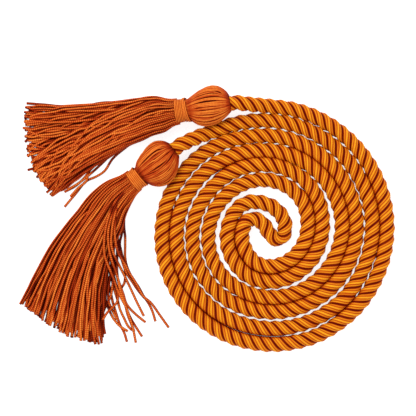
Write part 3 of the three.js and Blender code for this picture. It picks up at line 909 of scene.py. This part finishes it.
# yarn colour from a painted highlight on the crests, through its body colour, to painted shade in
# cavities, with silky streaks along the yarn
def makeYarnColorAndPaintedShade():
    inputs = {
        "Crest": (0.8, 0.3, 0.02, 1), "Body": (0.6, 0.2, 0.01, 1), "Groove": (0.2, 0.01, 0.0, 1),
        "Cavity": 0.0, "Streaks Around": 4.0, "Streaks Along": 1.0, "Variation": 0.2,
    }
    group, given, color = newGroup("dyedYarn", inputs, "Color", "NodeSocketColor")
    around, along = addYarnPlace(group, given["Streaks Around"], given["Streaks Along"])
    stretched = group.nodes.new("ShaderNodeCombineXYZ")
    group.links.new(around, stretched.inputs["X"])
    group.links.new(along, stretched.inputs["Y"])
    streak = addMaths(group, "SUBTRACT", addNoise(group, stretched.outputs[0], 1, 3), 0.5)
    tone = addMaths(group, "MULTIPLY_ADD", streak, given["Variation"], given["Cavity"], clamp=True)
    # the painted highlight turns to the body colour over the first two fifths of the tone, and both to
    # the painted shadow colour over the rest
    toBody = addMaths(group, "MULTIPLY", tone, 2.5, clamp=True)
    toGroove = addMaths(group, "MULTIPLY_ADD", tone, 1.67, -0.67, clamp=True)
    lighter = addMix(group, toBody, given["Crest"], given["Body"])
    group.links.new(addMix(group, toGroove, lighter, given["Groove"]), color)
    return group


fibreTwist = makeFibreTwist()
dyedYarn = makeYarnColorAndPaintedShade()
# crest is the painted lit colour of the yarns' crests, groove the painted colour of their deepest shade
finishes = {
    "goldenCord": {
        "crest": (0.81, 0.33, 0.012), "body": (0.50, 0.062, 0.002), "groove": (0.11, 0.001, 0.0006),
        "streaksAround": 36, "streaksAlong": 1.2, "variation": 0.6, "ribsAround": 60, "ribsAlong": 6,
        "ribShade": 0.0, "fuzz": 0.6, "bump": 0.2, "roughness": 0.5, "specular": 0.06,
    },
    "fringeYarn": {
        "crest": (0.82, 0.245, 0.034), "body": (0.43, 0.037, 0.004), "groove": (0.07, 0.0008, 0.0005),
        "streaksAround": 3, "streaksAlong": 2, "variation": 0.4, "ribsAround": 1, "ribsAlong": 9,
        "ribShade": 0.36, "fuzz": 0.4, "bump": 0.5, "roughness": 0.6, "specular": 0.06,
    },
    "drawnYarn": {  # the same yarn drawn tight over a head or round a neck
        "crest": (0.82, 0.245, 0.030), "body": (0.43, 0.037, 0.004), "groove": (0.07, 0.0008, 0.0005),
        "streaksAround": 4, "streaksAlong": 2, "variation": 0.55, "ribsAround": 1, "ribsAlong": 13,
        "ribShade": 0.2, "fuzz": 0.6, "bump": 0.35, "roughness": 0.6, "specular": 0.06,
    },
}
sheen = (1.0, 0.72, 0.4, 1)  # colour of the yarns' shine
bumpHeight = 0.15


# a group's node, its inputs set to the finish's values of the same names
def addGroup(tree, group, finish):
    node = tree.nodes.new("ShaderNodeGroup")
    node.node_tree = group
    for socket in node.inputs:
        key = socket.name[0].lower() + socket.name[1:].replace(" ", "")
        if key in finish:
            value = finish[key]
            socket.default_value = (*value, 1) if isinstance(value, tuple) else value
    return node


def makeYarnMaterial(name, finish):
    material = bpy.data.materials.new(name)
    material.use_nodes = True
    tree = material.node_tree
    shader = tree.nodes["Principled BSDF"]
    shader.inputs["Roughness"].default_value = finish["roughness"]
    shader.inputs["Specular IOR Level"].default_value = finish["specular"]
    shader.inputs["Specular Tint"].default_value = sheen
    cavity = tree.nodes.new("ShaderNodeAttribute")
    cavity.attribute_name = "cavity"
    twist = addGroup(tree, fibreTwist, finish)
    paintedShading = addGroup(tree, dyedYarn, finish)
    # painted shade between the ribs, added to the mesh's painted shade
    shade = finish["ribShade"]
    ribbed = addMaths(tree, "MULTIPLY_ADD", twist.outputs["Height"], -shade, shade)
    tree.links.new(addMaths(tree, "ADD", cavity.outputs["Fac"], ribbed), paintedShading.inputs["Cavity"])
    tree.links.new(paintedShading.outputs["Color"], shader.inputs["Base Color"])
    bump = tree.nodes.new("ShaderNodeBump")
    bump.inputs["Strength"].default_value = finish["bump"]
    bump.inputs["Distance"].default_value = bumpHeight * mm
    tree.links.new(twist.outputs["Height"], bump.inputs["Height"])
    tree.links.new(bump.outputs["Normal"], shader.inputs["Normal"])
    return material


yarns = {name: makeYarnMaterial(name, finish) for name, finish in finishes.items()}
cord.data.materials.append(yarns["goldenCord"])
print("yarn materials ready")

for side, tassel in tassels.items():
    pieces = [
        *makeHead(side, tassel, headLook),
        makeSkirt(side, tassel, skirtLook, skirtLays[side]),
        makeStrays(side, tassel, strayLook, strays[side]),
    ]
    for piece in pieces:
        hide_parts("tassel_" + side)
    binding = makeBinding(side, tassel, bindingLook, bindings[side])
    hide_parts("tassel_" + side + "_binding")
    for piece in (*pieces, binding):
        drawn = "Head" in piece.name or piece == binding
        piece.data.materials.append(yarns["drawnYarn" if drawn else "fringeYarn"])
        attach(piece, "root")
    print(side, "tassel:", sum(len(piece.data.polygons) for piece in pieces), "faces")

# pale floor and soft light, in metres
studio = {
    "floorSize": 6.0,
    "floorDrop": 0.0001,  # below the cord
    "floorColor": (0.5, 0.5, 0.5),
    "floorRoughness": 0.9,
    "floorSpecular": 0.1,
    "floorGlow": 0.8,
    "sky": 1.05,
    "keyPlace": (-0.7, 0.9, 1.7),
    "keySize": 0.9,
    "keyPower": 18.0,
}


def makeStudio(setup):
    half = setup["floorSize"] / 2
    mesh = bpy.data.meshes.new("floor")
    corners = [(-half, -half, 0), (half, -half, 0), (half, half, 0), (-half, half, 0)]
    mesh.from_pydata(corners, [], [(0, 1, 2, 3)])
    floor = addObject("floor", mesh)
    floor.location.z = -setup["floorDrop"]
    paper = bpy.data.materials.new("paleFloor")
    paper.use_nodes = True
    shader = paper.node_tree.nodes["Principled BSDF"]
    shader.inputs["Base Color"].default_value = (*setup["floorColor"], 1)
    shader.inputs["Emission Color"].default_value = (1, 1, 1, 1)
    shader.inputs["Emission Strength"].default_value = setup["floorGlow"]
    shader.inputs["Roughness"].default_value = setup["floorRoughness"]
    shader.inputs["Specular IOR Level"].default_value = setup["floorSpecular"]
    mesh.materials.append(paper)
    world = bpy.data.worlds.new("sky")
    world.use_nodes = True
    background = world.node_tree.nodes["Background"]
    background.inputs["Color"].default_value = (1, 1, 1, 1)
    background.inputs["Strength"].default_value = setup["sky"]
    bpy.context.scene.world = world
    light = bpy.data.lights.new("key", "AREA")
    light.shape = "DISK"
    light.size = setup["keySize"]
    light.energy = setup["keyPower"]
    key = addObject("key", light)
    key.location = setup["keyPlace"]
    aim = Vector(cameraSetup["lookAt"]) * mm - key.location
    key.rotation_euler = aim.to_track_quat("-Z", "Y").to_euler()
    bpy.context.scene.view_settings.view_transform = "Standard"


makeStudio(studio)
print("studio ready")
